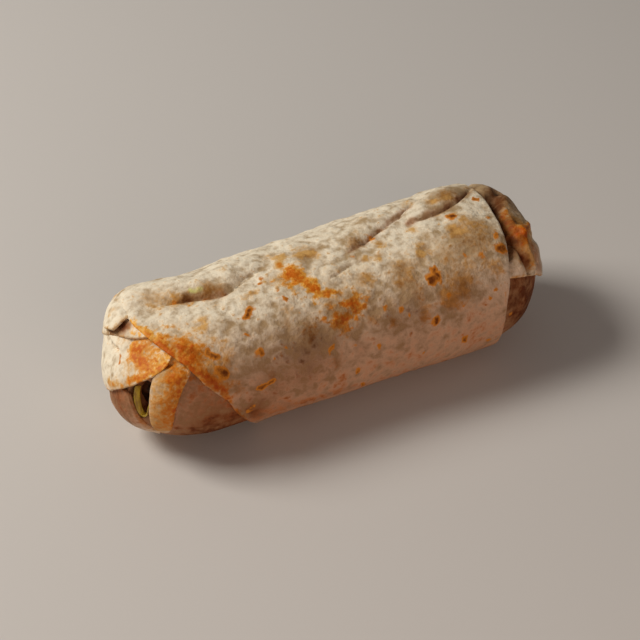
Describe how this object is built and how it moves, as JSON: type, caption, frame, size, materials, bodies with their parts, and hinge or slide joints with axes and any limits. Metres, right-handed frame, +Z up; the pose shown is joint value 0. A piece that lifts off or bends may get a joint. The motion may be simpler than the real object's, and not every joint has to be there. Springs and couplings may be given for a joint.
{
  "type": "burrito",
  "caption": "Flour tortilla rolled round its filling with both ends folded in, open a little at one end where a strip of green pepper shows.",
  "frame": {"origin": "on the ground under the middle of the roll, at the centre of the base of its box", "axes": "+X along the roll from the end with the mouth to the closed end, +Y to the back, +Z up"},
  "size_m": [0.1969, 0.0749, 0.0609],
  "materials": {
    "tortilla": "griddled flour tortilla, cream with brown and orange spots, dry to slightly greasy",
    "filling": "moist dark brown filling",
    "pepper": "wet yellow-green cooked pepper"
  },
  "bodies": {
    "root": {"tortilla": "tortilla", "filling": "filling", "leaf": "pepper"}
  },
  "joints": []
}
